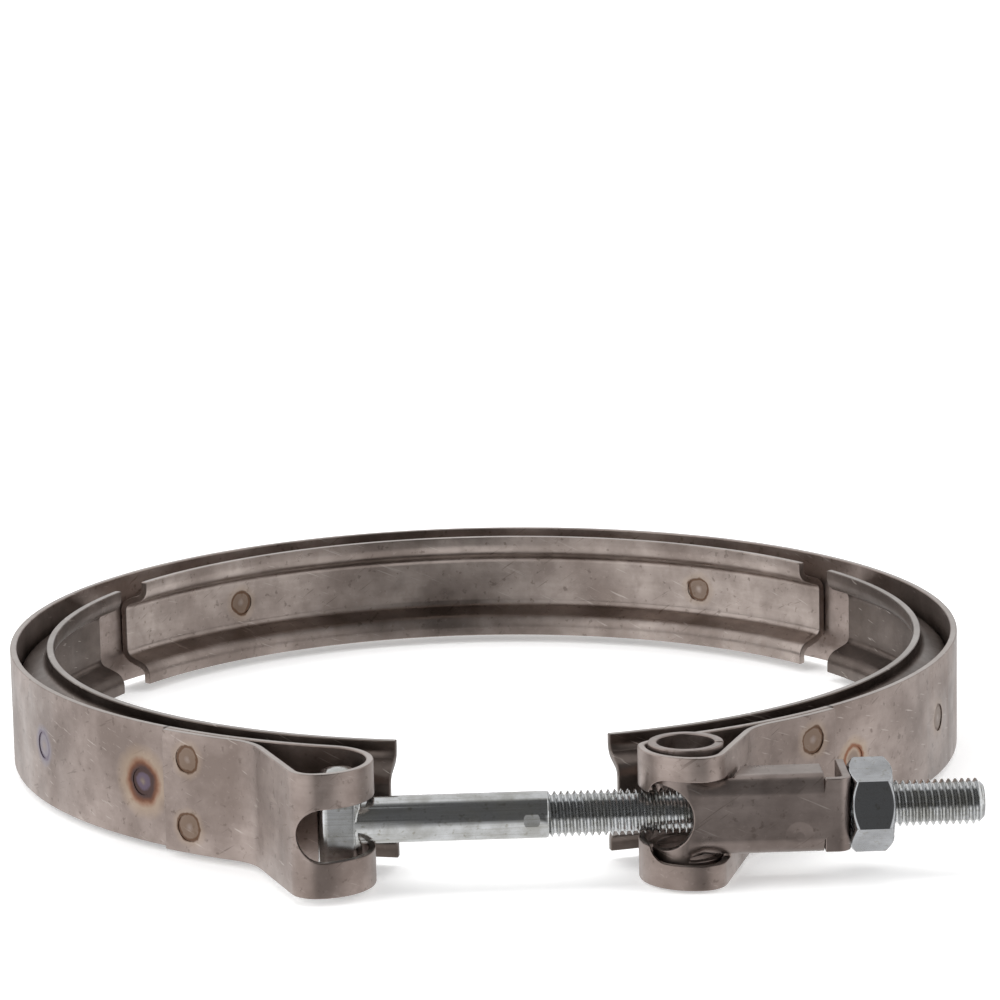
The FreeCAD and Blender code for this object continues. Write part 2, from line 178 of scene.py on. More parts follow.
def sector_block(center, inner, outer, start, end, height):
    """Closed upright block between two radii and two angles from +X."""
    bm = bmesh.new()
    first = bmesh.ops.create_vert(bm, co=center + Vector((inner, 0, -height / 2)))["vert"]
    edge = straight_on(bm, first, (0, 0, height))
    bm.edges.ensure_lookup_table()
    straight_on(bm, bm.edges[:], (outer - inner, 0, 0))
    merge(bm)
    bmesh.ops.rotate(bm, verts=bm.verts, cent=center, matrix=Matrix.Rotation(start, 3, "Z"))
    bend_on(bm, bm.faces[:] + bm.edges[:] + bm.verts[:], center, end - start)
    return piece_from(bm, "cutter")


def rod(start, end, radius, sides=48):
    """Closed round rod between two places."""
    bm = bmesh.new()
    along = end - start
    turn = along.to_track_quat("Z", "Y").to_matrix().to_4x4()
    place = Matrix.Translation((start + end) / 2) @ turn
    bmesh.ops.create_cone(bm, cap_ends=True, segments=sides, radius1=radius, radius2=radius,
                          depth=along.length, matrix=place)
    return piece_from(bm, "cutter")


def rounded_block(center, across, up, width, height, corner_r, depth):
    """Closed plate with four round corners, from its middle, drawn out along the depth vector."""
    bm = bmesh.new()
    across, up = Vector(across), Vector(up)
    corners = [center + across * (width / 2 * w) + up * (height / 2 * h)
               for w, h in ((-1, -1), (1, -1), (1, 1), (-1, 1))]
    bm.faces.new([bm.verts.new(corner) for corner in corners])
    bmesh.ops.bevel(bm, geom=bm.verts[:], offset=corner_r, segments=8, profile=0.5,
                    affect="VERTICES", material=-1)
    made = bmesh.ops.extrude_face_region(bm, geom=bm.faces[:])["geom"]
    moved = [v for v in made if isinstance(v, bmesh.types.BMVert)]
    bmesh.ops.translate(bm, verts=moved, vec=depth)
    return piece_from(bm, "cutter")


def half_strip(bm):
    """Middle plane of the strip, from the rear round the loop and back over the ring."""
    bm.verts.ensure_lookup_table()
    lead = [bm.verts.new((0, strip_mid_r, z * STRIP_HEIGHT / 2)) for z in (-1, 1)]
    lead.append(bm.edges.new(lead))
    lead = bend_on(bm, lead, (0, 0, 0), LOOP_ANGLE - pi, step=RING_STEP)
    lead = bend_on(bm, lead, loop_center, pi - LOOP_ANGLE, step=LOOP_STEP)
    lead = bend_on(bm, lead, (loop_x, loop_front_y, 0), pi / 2 - LEG_LEAN, step=BEND_STEP)
    normal = Vector((cos(LEG_LEAN), -sin(LEG_LEAN), 0))
    along = Vector((sin(LEG_LEAN), cos(LEG_LEAN), 0))
    foot = Vector((loop_x, loop_front_y, 0)) + normal * LOOP_FRONT_R
    base = foot + normal * TAB_BEND_R
    drop = base.dot(along)
    rise = -drop - sqrt(drop ** 2 - base.length_squared + (tab_mid_r + TAB_BEND_R) ** 2)
    turn = base + along * rise
    tab_start = atan2(turn.x, -turn.y)
    lead = straight_on(bm, lead, along * rise)
    lead = bend_on(bm, lead, turn, tab_start + LEG_LEAN - pi / 2, step=BEND_STEP)
    bend_on(bm, lead, (0, 0, 0), TAB_END_ANGLE - tab_start, step=RING_STEP)
    return foot, turn


strip = bmesh.new()
leg_foot, tab_turn = half_strip(strip)
bmesh.ops.mirror(strip, geom=strip.faces[:] + strip.edges[:] + strip.verts[:], axis="X",
                 merge_dist=MESH_GAP)
for vert in strip.verts:
    if vert.co.x > 0 and vert.co.y < tab_turn.y:
        spread = min(1, (tab_turn.y - vert.co.y) / (tab_turn.y - loop_y))
        vert.co.z *= 1 + spread * LOOP_FLARE / (STRIP_HEIGHT / 2)
band = piece_from(strip, "band_strip")
thicken(band, STRIP_THICKNESS)

# The left loop's slot lets the bolt through. The right loop's is taller at the front, for the
# trunnion, and has a round-cornered opening in its outer leg.
BOLT_SLOT_HEIGHT = 0.00735
BOLT_SLOT_SETBACK = 0.0008
SLOT_INNER_ANGLE = radians(25)
SPOUT_SLOT_HEIGHT = 0.0116
SPOUT_SLOT_START = radians(32)
SPOUT_SLOT_REACH = 0.0032
SPOUT_SLOT_CORNER_R = 0.0022
LEG_SLOT_HEIGHT = 0.0092
LEG_SLOT_LENGTH = 0.0076
LEG_SLOT_CORNER_R = 0.0025
loop_outer_r = LOOP_R + STRIP_THICKNESS / 2
cut_inner, cut_outer = LOOP_R / 2, loop_outer_r + STRIP_THICKNESS


def block(low, high):
    """Closed box between two corners."""
    bm = bmesh.new()
    middle, size = (low + high) / 2, high - low
    place = Matrix.Translation(middle) @ Matrix.Diagonal((*size, 1))
    bmesh.ops.create_cube(bm, size=1, matrix=place)
    return piece_from(bm, "cutter")


def bolt_slot(side):
    """Cutters for the slot through a loop's fold, with its round inner end."""
    center = Vector((side * loop_x, loop_y, 0))
    half = BOLT_SLOT_HEIGHT / 2
    inner = pi - SLOT_INNER_ANGLE if side > 0 else SLOT_INNER_ANGLE
    start, finish = sorted((inner, pi if side > 0 else 0))
    aside = Vector((cos(inner), sin(inner), 0))
    front_x = center.x - side * BOLT_SLOT_SETBACK
    near, far = sorted((front_x, center.x - side * 2 * loop_outer_r))
    return [sector_block(center, cut_inner, cut_outer, start, finish, BOLT_SLOT_HEIGHT),
            rod(center + aside * cut_inner, center + aside * cut_outer, half),
            block(Vector((near, loop_y - 2 * loop_outer_r, -half)), Vector((far, loop_y, half)))]


def spout_slot():
    """Cutters for the window at the right loop's front and the opening in its leg."""
    start_x = loop_x - loop_outer_r * cos(SPOUT_SLOT_START)
    end_x = leg_foot.x + SPOUT_SLOT_REACH
    window_y = loop_y - loop_outer_r * sin(SPOUT_SLOT_START) + STRIP_THICKNESS
    window = rounded_block(Vector(((start_x + end_x) / 2, window_y, 0)), (1, 0, 0), (0, 0, 1),
                           end_x - start_x, SPOUT_SLOT_HEIGHT, SPOUT_SLOT_CORNER_R,
                           (0, -2 * loop_outer_r, 0))
    length = LEG_SLOT_LENGTH + loop_outer_r
    leg = rounded_block(Vector((loop_x, loop_y + LEG_SLOT_LENGTH - length / 2, 0)), (0, 1, 0),
                        (0, 0, 1), length, LEG_SLOT_HEIGHT, LEG_SLOT_CORNER_R,
                        (2 * loop_outer_r, 0, 0))
    return [window, leg]


left_front = Vector((BOLT_SLOT_SETBACK - loop_x, loop_y, 0))
front_end = rod(left_front, left_front - Vector((0, 2 * loop_outer_r, 0)), BOLT_SLOT_HEIGHT / 2)
combine(band, bolt_slot(-1) + [front_end])
combine(band, spout_slot() + bolt_slot(1))
round_edges(band, EDGE_ROUND)

# Spot welds leave shallow round marks: two on each tab, and one at each end of each retainer.
WELD_R = 0.00195
WELD_DEPTH = 0.00012
TAB_WELD_ANGLE = radians(37)
TAB_WELD_Z = 0.0049
RING_WELD_ANGLES = (radians(44.6), radians(65.9), radians(147))
tab_face_r = tab_mid_r + STRIP_THICKNESS / 2
tab_welds = [from_front(tab_face_r, side * TAB_WELD_ANGLE, z)
             for side in (-1, 1) for z in (-TAB_WELD_Z, TAB_WELD_Z)]
ring_welds = [from_front(BAND_R, side * angle) for side in (-1, 1) for angle in RING_WELD_ANGLES]


def weld_cutter(place, inward=False):
    """Disc that leaves a shallow weld mark on a face of the ring."""
    out = Vector((place.x, place.y, 0)).normalized() * (-1 if inward else 1)
    return rod(place - out * WELD_DEPTH, place + out * STRIP_THICKNESS, WELD_R, sides=40)


combine(band, [weld_cutter(place) for place in tab_welds + ring_welds])
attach(band, "clamp_band")
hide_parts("band")


# Stainless strip: mill finish, warm grey-brown, with faint blotches, rolling lines along the
# strip, pits and rubbed marks. Each weld shows a heat-tinted ring, and a painted shadow lies just
# past each tab's end.

def add_node(tree, kind, inputs=(), **settings):
    """New shader node with its settings and its inputs, which are numbers or other sockets."""
    node = tree.nodes.new(kind)
    for key, value in settings.items():
        setattr(node, key, value)
    for key, value in dict(inputs).items():
        if isinstance(value, bpy.types.NodeSocket):
            tree.links.new(value, node.inputs[key])
        else:
            node.inputs[key].default_value = value
    return node


def value_of(tree, operation, first, second=0.0, third=0.0):
    """Result of one operation on up to three values."""
    return add_node(tree, "ShaderNodeMath", {0: first, 1: second, 2: third},
                    operation=operation).outputs[0]


def pattern(tree, places, scale, detail, stretch=(1, 1, 1)):
    """Noise at a scale, drawn out along an axis, as a value round 0.5."""
    spread = add_node(tree, "ShaderNodeMapping", {"Vector": places, "Scale": stretch}).outputs[0]
    return add_node(tree, "ShaderNodeTexNoise",
                    {"Vector": spread, "Scale": scale, "Detail": detail,
                     "Roughness": NOISE_ROUGHNESS}).outputs[0]


def ranged(tree, value, low, high, to_low=0.0, to_high=1.0):
    """Value stretched from one range to another and held at its ends."""
    return add_node(tree, "ShaderNodeMapRange",
                    {"Value": value, "From Min": low, "From Max": high,
                     "To Min": to_low, "To Max": to_high}).outputs[0]


def mixed(tree, factor, first, second):
    """Two colours mixed by a factor."""
    node = add_node(tree, "ShaderNodeMix", data_type="RGBA")
    for slot, value in ((0, factor), (6, first), (7, second)):
        if isinstance(value, bpy.types.NodeSocket):
            tree.links.new(value, node.inputs[slot])
        else:
            node.inputs[slot].default_value = value
    return node.outputs[2]


def distance_from(tree, places, center):
    """Distance of each place from a centre."""
    return add_node(tree, "ShaderNodeVectorMath", {0: places, 1: center},
                    operation="DISTANCE").outputs["Value"]


def raised(tree, height, strength, depth, under=None):
    """Relief of a pattern, laid over an earlier relief."""
    inputs = {"Height": height, "Strength": strength, "Distance": depth}
    if under is not None:
        inputs["Normal"] = under
    return add_node(tree, "ShaderNodeBump", inputs).outputs[0]


def tinted(tree, color, places, center, radius, tints):
    """Heat tint round a place: each tint is a colour, an inner and an outer share of the radius
    and a strength."""
    wander = pattern(tree, places, TINT_NOISE, TINT_DETAIL)
    reach = value_of(tree, "MULTIPLY_ADD", wander, radius * TINT_WANDER,
                     distance_from(tree, places, center))
    for tint, inner, outer, strength in tints:
        middle = radius * ((inner + outer) / 2 + TINT_WANDER / 2)
        half = radius * (outer - inner) / 2
        apart = value_of(tree, "ABSOLUTE", value_of(tree, "SUBTRACT", reach, middle))
        color = mixed(tree, ranged(tree, apart, half, half * TINT_CORE, 0, strength), color, tint)
    return color


def scored(tree, places, tilt, color, mark, strength):
    """Thin scratches that run across the front at a tilt."""
    turned_places = add_node(tree, "ShaderNodeVectorRotate", {"Vector": places, "Angle": tilt},
                             rotation_type="Y_AXIS").outputs[0]
    lines = pattern(tree, turned_places, 1, SCRATCH_DETAIL, SCRATCH_STRETCH)
    return mixed(tree, ranged(tree, lines, *SCRATCH_RANGE, 0, strength), color, mark)


def lap_shadowed(tree, places, color, lap):
    """Painted shadow in a narrow band at an angle from the front, on both sides of the ring."""
    across = add_node(tree, "ShaderNodeSeparateXYZ", {"Vector": places}).outputs
    front = value_of(tree, "MULTIPLY", across["Y"], -1)
    side = value_of(tree, "ABSOLUTE", across["X"])
    angle = value_of(tree, "ARCTAN2", side, front)
    gap = value_of(tree, "ABSOLUTE", value_of(tree, "SUBTRACT", angle, lap))
    return mixed(tree, ranged(tree, gap, *LAP_SHADOW_RANGE, 0, LAP_SHADOW_STRENGTH), color, LAP_SHADOW_DARK)


def metal(name):
    """New bare metal material: the material, its node tree and its shader."""
    material = bpy.data.materials.new(name)
    material.use_nodes = True
    shader = material.node_tree.nodes["Principled BSDF"]
    shader.inputs["Metallic"].default_value = 1
    return material, material.node_tree, shader


def sheet_steel(name, light, dark, roughness, welds=(), cut_edges=0.5, dents=(), lap=0.0):
    """Mill-finish stainless sheet with bright cut edges, its weld marks, each a place, radius and
    list of tints, its dents, each a place and radius, and a painted shadow at the lap's angle."""
    material, tree, shader = metal(name)
    coordinates = add_node(tree, "ShaderNodeTexCoord").outputs
    places = coordinates["Object"]
    noise = {layer: pattern(tree, places, *drawn) for layer, drawn in SHEET_NOISE.items()}
    tones = {"light": light, "dark": dark, "scratch": SCRATCH_DARK}
    color = mixed(tree, ranged(tree, noise["blotch"], *SHEET_BLOTCH), dark, light)
    for layer, low, high, strength, tone in SHEET_MARKS:
        color = mixed(tree, ranged(tree, noise[layer], low, high, 0, strength), color, tones[tone])
    for tilt, mark, strength in SCRATCHES:
        color = scored(tree, places, tilt, color, mark, strength)
    facing = add_node(tree, "ShaderNodeSeparateXYZ", {"Vector": coordinates["Normal"]}).outputs
    level = value_of(tree, "ABSOLUTE", facing["Z"])
    color = mixed(tree, ranged(tree, level, *EDGE_RANGE, 0, cut_edges), color, CUT_EDGE)
    # Painted shadow on the ring beside the tab's end, where the step would shade it.
    if lap:
        color = lap_shadowed(tree, places, color, lap)
    for center, radius, tints in welds:
        color = tinted(tree, color, places, center, radius, tints)
    tree.links.new(color, shader.inputs["Base Color"])
    rough = ranged(tree, noise["wear"], *WEAR_RANGE, roughness - WEAR_SMOOTH,
                   roughness + WEAR_ROUGH)
    tree.links.new(rough, shader.inputs["Roughness"])
    relief = None
    for layer, strength, depth in SHEET_RELIEF:
        relief = raised(tree, noise[layer], strength, depth, relief)
    for center, radius in dents:
        bowl = ranged(tree, distance_from(tree, places, center), radius * DENT_FLOOR, radius)
        relief = raised(tree, bowl, DENT_STRENGTH, DENT_DEPTH, relief)
    tree.links.new(relief, shader.inputs["Normal"])
    return material


def give(piece, material):
    """Puts a material on all of a piece."""
    piece.data.materials.clear()
    piece.data.materials.append(material)
    for face in piece.data.polygons:
        face.material_index = 0


# Ranges of noise or distance over which each mark shows, and how strong it is.
NOISE_ROUGHNESS = 0.55
TINT_NOISE = 420
TINT_WANDER = 0.7
TINT_CORE = 0.35
SCRATCH_STRETCH = (110, 300, 2400)
SCRATCH_RANGE = (0.67, 0.74)
EDGE_RANGE = (0.955, 0.99)
# Painted shadow beside each tab's end: where it fades and is full, its strength, and its offset
# from the tab's end.
LAP_SHADOW_RANGE = (0.006, 0.002)
LAP_SHADOW_STRENGTH = 0.8
LAP_SHADOW_OFFSET = 0.005
WEAR_RANGE = (0.3, 0.7)
WEAR_SMOOTH = 0.09
WEAR_ROUGH = 0.1
DENT_FLOOR = 0.3
DENT_STRENGTH = 0.5
DENT_DEPTH = 0.0003
STRIP_LIGHT = (0.385, 0.32, 0.292, 1)
STRIP_DARK = (0.21, 0.167, 0.148, 1)
CUT_EDGE = (0.66, 0.62, 0.59, 1)
SCRATCH_DARK = (0.13, 0.10, 0.085, 1)
SCRATCH_LIGHT = (0.58, 0.52, 0.48, 1)
# Colour of the painted shadow beside each tab's end.
LAP_SHADOW_DARK = (0.05, 0.04, 0.035, 1)
STRAW = (0.44, 0.33, 0.23, 1)
WELD_BROWN = (0.13, 0.083, 0.057, 1)
RUST_BROWN = (0.085, 0.04, 0.02, 1)
RUST_ORANGE = (0.20, 0.065, 0.025, 1)
HEAT_BLACK = (0.055, 0.04, 0.042, 1)
HEAT_PURPLE = (0.13, 0.10, 0.14, 1)
HEAT_BLUE = (0.22, 0.205, 0.25, 1)
# Noise of the finish: scale, detail and stretch of each layer.
SHEET_NOISE = {"blotch": (75, 5), "mottle": (420, 5), "lines": (1, 3, (40, 40, 1400)),
               "specks": (1500, 2), "pits": (900, 3), "wear": (160, 6), "waves": (130, 2)}
SHEET_BLOTCH = (0.36, 0.62)
TINT_DETAIL = 3
SCRATCH_DETAIL = 2
# Marks over the blotches: layer, where its noise starts and is full, strength and tone.
SHEET_MARKS = (("mottle", 0.48, 0.7, 0.45, "dark"), ("lines", 0.3, 0.7, 0.22, "dark"),
               ("specks", 0.62, 0.75, 0.3, "light"), ("pits", 0.62, 0.7, 0.55, "scratch"))
# Scratches: tilt, colour and strength.
SCRATCHES = ((radians(35), SCRATCH_DARK, 0.5), (radians(-25), SCRATCH_LIGHT, 0.45))
# Relief: layer, strength and depth.
SHEET_RELIEF = (("lines", 0.10, 0.00004), ("waves", 0.4, 0.0004), ("mottle", 0.3, 0.00008),
                ("specks", 0.2, 0.00003))
# Heat tints: colour, inner and outer share of the weld's radius, and strength.
plain_weld = [(STRAW, 0.0, 1.6, 0.25), (WELD_BROWN, 0.0, 1.05, 0.65), (RUST_BROWN, 0.75, 1.1, 0.8)]
burnt_weld = [(STRAW, 0.0, 2.9, 0.45), (RUST_ORANGE, 0.3, 1.9, 0.85), (HEAT_BLACK, 0.0, 1.6, 0.9),
              (HEAT_PURPLE, 0.15, 0.8, 0.8)]
blue_weld = [(HEAT_BLUE, 0.0, 1.7, 0.7), (HEAT_PURPLE, 0.7, 1.2, 0.75)]
rust_ring = [(STRAW, 0.2, 1.9, 0.5), (WELD_BROWN, 0.0, 0.8, 0.5), (RUST_ORANGE, 0.75, 1.3, 0.8)]
ring_weld_tints = {-1: (burnt_weld, blue_weld, plain_weld), 1: (rust_ring, plain_weld, plain_weld)}
strip_welds = [(place, WELD_R, plain_weld) for place in tab_welds]
for side, tints in ring_weld_tints.items():
    for angle, tint in zip(RING_WELD_ANGLES, tints):
        strip_welds.append((from_front(BAND_R, side * angle), WELD_R, tint))
# Dents on the tabs: degrees from the front, height and radius.
TAB_DENTS = ((33.5, 0.0015, 0.0016), (36.0, 0.0012, 0.0022), (38.8, 0.0040, 0.0014),
             (-32.0, 0.0010, 0.0020), (-34.5, -0.0045, 0.0016))
tab_dents = [(from_front(tab_face_r, radians(angle), z), radius) for angle, z, radius in TAB_DENTS]
# The lap angle places a painted shadow on the ring just past each tab's end.
give(band, sheet_steel("strip_steel", STRIP_LIGHT, STRIP_DARK, roughness=0.38, welds=strip_welds,
                       dents=tab_dents, lap=TAB_END_ANGLE + LAP_SHADOW_OFFSET))


# Retainers
# Three hat-section segments of 1.1 mm stainless sheet, rolled to the ring and spot-welded inside
# the band. Their sloping walls wedge over the pipe joint's flanges.

RETAINER_THICKNESS = 0.0011
RETAINER_DEPTH = 0.0054
RETAINER_HEIGHT = 0.0166
WEB_HEIGHT = 0.0086
WALL_ANGLE = radians(20)
FOLD_R = 0.0017
RETAINER_GAP = radians(12.9)
RETAINER_SPAN = radians(107.4)
FOLD_STEP = radians(9)
SEGMENT_STEP = radians(1.6)


def retainer_mesh(name, start):
    """Hat profile from the web's middle up and down to the lips, turned round the ring's axis."""
    web_r = BAND_R - STRIP_THICKNESS - LAP_GAP - RETAINER_THICKNESS / 2
    drop = RETAINER_DEPTH - RETAINER_THICKNESS
    setback = FOLD_R * tan((pi / 2 - WALL_ANGLE) / 2)
    lip_z = WEB_HEIGHT / 2 + drop * tan(WALL_ANGLE)
    wall = Vector((-cos(WALL_ANGLE), 0, sin(WALL_ANGLE)))
    bm = bmesh.new()
    lead = [bm.verts.new((web_r, 0, 0))]
    rise = WEB_HEIGHT / 2 - setback
    lead = straight_on(bm, lead, (0, 0, rise))
    lead = bend_on(bm, lead, (web_r - FOLD_R, 0, rise), WALL_ANGLE - pi / 2, axis=(0, 1, 0),
                   step=FOLD_STEP)
    lead = straight_on(bm, lead, wall * (drop / cos(WALL_ANGLE) - 2 * setback))
    lead = bend_on(bm, lead, (web_r - drop + FOLD_R, 0, lip_z + setback), pi / 2 - WALL_ANGLE,
                   axis=(0, 1, 0), step=FOLD_STEP)
    straight_on(bm, lead, (0, 0, RETAINER_HEIGHT / 2 - lip_z - setback))
    bmesh.ops.mirror(bm, geom=bm.edges[:] + bm.verts[:], axis="Z", merge_dist=MESH_GAP)
    merge(bm)
    bmesh.ops.rotate(bm, verts=bm.verts, matrix=Matrix.Rotation(start - pi / 2, 3, "Z"))
    bend_on(bm, bm.edges[:] + bm.verts[:], (0, 0, 0), RETAINER_SPAN, step=SEGMENT_STEP)
    piece = piece_from(bm, name)
    thicken(piece, RETAINER_THICKNESS)
    round_edges(piece, EDGE_ROUND)
    return piece


GROOVE_R = BAND_R - STRIP_THICKNESS - LAP_GAP - RETAINER_THICKNESS
SEGMENT_LIGHT = (0.45, 0.385, 0.352, 1)
SEGMENT_DARK = (0.23, 0.187, 0.166, 1)
# Painted shade: a darker copy of the segment steel for the left and right segments, standing in
# for the shade inside the front of the ring.
SHADED_SIDE_LIGHT = (0.19, 0.155, 0.138, 1)
SHADED_SIDE_DARK = (0.105, 0.084, 0.073, 1)
retainer_starts = {"left": -RETAINER_GAP - RETAINER_SPAN, "right": RETAINER_GAP,
                   "rear": pi - RETAINER_SPAN / 2}
for place, start in retainer_starts.items():
    retainer = retainer_mesh("hat_segment_" + place, start)
    marks = [from_front(GROOVE_R, side * angle) for side in (-1, 1) for angle in RING_WELD_ANGLES]
    near = [mark for mark in marks
            if 0 < (atan2(mark.x, -mark.y) - start) % (2 * pi) < RETAINER_SPAN]
    combine(retainer, [weld_cutter(mark, inward=True) for mark in near])
    # The left and right segments take the darker copy, which is painted shade and not a different
    # steel.
    light, dark = (SEGMENT_LIGHT, SEGMENT_DARK) if place == "rear" else (SHADED_SIDE_LIGHT, SHADED_SIDE_DARK)
    give(retainer, sheet_steel("segment_steel_" + place, light, dark, roughness=0.36,
                               welds=[(mark, WELD_R, plain_weld) for mark in near]))
    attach(retainer, "clamp_band")
    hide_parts("retainer_" + place)


# T bolt
# Zinc-plated steel bolt. Its forged head is a half-round bar that lies in the left loop, and its
# shank is threaded up to the free end, with a stake mark just before the thread.

BOLT_R = 0.003175
THREAD_R = 0.003125
THREAD_PITCH = 0.000907
THREAD_DEPTH = 0.00052
THREAD_CREST = 0.06
THREAD_ROOT = 0.375
SHANK_LENGTH = 0.0312
HEAD_SEAT_CLEARANCE = 0.0008
HEAD_HEIGHT = 0.0148
HEAD_DEPTH = 0.0066
HEAD_ROUND = 0.0016
HEAD_DOME_R = 0.0028
BOLT_END_CHAMFER = 0.0009
STAKE_LENGTH = 0.0022
STAKE_SETBACK = 0.0013
STAKE_DEPTH = 0.00012
STAKE_CORNER_R = STAKE_LENGTH * 0.42
BOLT_EDGE_ROUND = 0.00025
bolt_start = Vector((-loop_x, loop_y, 0))
bolt_end = Vector((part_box("t_bolt")[1].x, loop_y, 0))
thread_start_x = bolt_start.x + SHANK_LENGTH
head_r = LOOP_R - STRIP_THICKNESS / 2 - HEAD_SEAT_CLEARANCE


def turned(corners, steps=64):
    """Closed shape turned round the bolt's axis from (place along it, radius) corners."""
    bm = bmesh.new()
    outline = [bm.verts.new((x, loop_y, r)) for x, r in corners]
    edges = [bm.edges.new(pair) for pair in zip(outline, outline[1:])]
    bmesh.ops.spin(bm, geom=edges + outline, cent=bolt_start, axis=(1, 0, 0), angle=2 * pi,
                   steps=steps, use_merge=True)
    return piece_from(bm, "turned")


def thread(start_x, end_x, outer_r, steps=36):
    """Ridge of the thread, swept as a helix from one pitch of its profile, with closed ends."""
    profile = ((-0.5, THREAD_DEPTH), (-THREAD_ROOT, THREAD_DEPTH), (-THREAD_CREST, 0),
               (THREAD_CREST, 0), (THREAD_ROOT, THREAD_DEPTH), (0.5, THREAD_DEPTH))
    bm = bmesh.new()
    outline = [bm.verts.new((start_x + share * THREAD_PITCH, loop_y, outer_r - depth))
               for share, depth in profile]
    edges = [bm.edges.new(pair) for pair in zip(outline, outline[1:])]
    turns = int((end_x - start_x) / THREAD_PITCH) + 2
    bmesh.ops.spin(bm, geom=edges + outline, cent=bolt_start, axis=(1, 0, 0),
                   dvec=(THREAD_PITCH / steps, 0, 0), angle=2 * pi * turns, steps=turns * steps)
    merge(bm, MESH_GAP)
    for x, outward in ((start_x + THREAD_PITCH, -1), (end_x, 1)):
        cut = bmesh.ops.bisect_plane(bm, geom=bm.faces[:] + bm.edges[:] + bm.verts[:],
                                     dist=FINE_GAP, plane_co=(x, loop_y, 0),
                                     plane_no=(outward, 0, 0), clear_outer=True)["geom_cut"]
        rim = [g for g in cut if isinstance(g, bmesh.types.BMEdge)]
        bmesh.ops.contextual_create(bm, geom=rim)
    return piece_from(bm, "thread")


seat = rod(bolt_start + Vector((0, 0, -HEAD_HEIGHT)), bolt_start + Vector((0, 0, HEAD_HEIGHT)),
           head_r, sides=96)
head_middle = bolt_start + Vector((head_r / 2, 0, 0))
bolt = rounded_block(head_middle - Vector((0, 0, HEAD_HEIGHT / 2)), (1, 0, 0), (0, 1, 0),
                     head_r, HEAD_DEPTH, HEAD_ROUND, (0, 0, HEAD_HEIGHT))
dome = rounded_block(head_middle - Vector((0, HEAD_DEPTH, 0)), (1, 0, 0), (0, 0, 1),
                     head_r, HEAD_HEIGHT, HEAD_DOME_R, (0, 2 * HEAD_DEPTH, 0))
across = rounded_block(head_middle - Vector((head_r, 0, 0)), (0, 1, 0), (0, 0, 1),
                       HEAD_DEPTH, HEAD_HEIGHT, HEAD_DOME_R, (2 * head_r, 0, 0))
bolt.name = bolt.data.name = "tee_bolt"
combine(bolt, [seat, dome, across], "INTERSECT")
shank = turned([(bolt_start.x + head_r / 2, 0), (bolt_start.x + head_r / 2, BOLT_R),
                (thread_start_x - BOLT_R + THREAD_R, BOLT_R),
                (thread_start_x, THREAD_R - THREAD_DEPTH / 2), (thread_start_x, 0)])
combine(bolt, [shank], "UNION")
round_edges(bolt, BOLT_EDGE_ROUND)
stake_x = thread_start_x - STAKE_SETBACK - STAKE_LENGTH / 2
stake = rounded_block(Vector((stake_x, loop_y - BOLT_R + STAKE_DEPTH, 0)), (1, 0, 0), (0, 0, 1),
                      STAKE_LENGTH, STAKE_LENGTH, STAKE_CORNER_R, (0, -BOLT_R, 0))
combine(bolt, [stake])
ridge = thread(thread_start_x - 2 * THREAD_PITCH, bolt_end.x, THREAD_R)
end_shape = turned([(thread_start_x - THREAD_PITCH / 2, 0),
                    (thread_start_x - THREAD_PITCH / 2, 2 * THREAD_R),
                    (bolt_end.x - BOLT_END_CHAMFER - THREAD_R, 2 * THREAD_R),
                    (bolt_end.x, THREAD_R - BOLT_END_CHAMFER), (bolt_end.x, 0)])
combine(ridge, [end_shape], "INTERSECT")
round_edges(ridge, 0)


def plated_steel(name, light, dark, roughness, streaks):
    """Zinc plating: bright, slightly blue, with warm drawn lines and small dull spots."""
    material, tree, shader = metal(name)
    places = add_node(tree, "ShaderNodeTexCoord").outputs["Object"]
    noise = {layer: pattern(tree, places, *drawn) for layer, drawn in PLATING_NOISE.items()}
    color = mixed(tree, ranged(tree, noise["blotch"], *PLATING_BLOTCH), light, dark)
    for layer, shown, strength in (("lines", STREAK_RANGE, streaks),
                                   ("spots", SPOT_RANGE, SPOT_STRENGTH)):
        factor = ranged(tree, noise[layer], *shown, 0, strength)
        color = mixed(tree, factor, color, PLATING_STREAK)
    tree.links.new(color, shader.inputs["Base Color"])
    rough = ranged(tree, noise["blotch"], *WEAR_RANGE, roughness - PLATING_SMOOTH,
                   roughness + PLATING_ROUGH)
    tree.links.new(rough, shader.inputs["Roughness"])
    relief = None
    for layer, strength, depth in PLATING_RELIEF:
        relief = raised(tree, noise[layer], strength, depth, relief)
    tree.links.new(relief, shader.inputs["Normal"])
    return material


ZINC_LIGHT = (0.62, 0.63, 0.64, 1)
ZINC_DARK = (0.44, 0.44, 0.425, 1)
PLATING_STREAK = (0.24, 0.225, 0.17, 1)
PLATING_NOISE = {"blotch": (260, 4), "lines": (1, 4, (60, 2400, 2400)), "spots": (1300, 3)}
PLATING_BLOTCH = (0.4, 0.65)
STREAK_RANGE = (0.5, 0.62)
SPOT_RANGE = (0.6, 0.72)
SPOT_STRENGTH = 0.5
PLATING_SMOOTH = 0.05
PLATING_ROUGH = 0.12
PLATING_RELIEF = (("lines", 0.12, 0.00003), ("blotch", 0.15, 0.0001))
zinc = plated_steel("zinc_plating", ZINC_LIGHT, ZINC_DARK, roughness=0.14, streaks=0.22)
for piece in (bolt, ridge):
    give(piece, zinc)
    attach(piece, "t_bolt")
    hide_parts("t_bolt")


# Trunnion
# One stamped stainless piece. Its rolled end turns in the right loop round the bolt, and its
# front is a channel that reaches to the folded end wall, which the nut presses on.

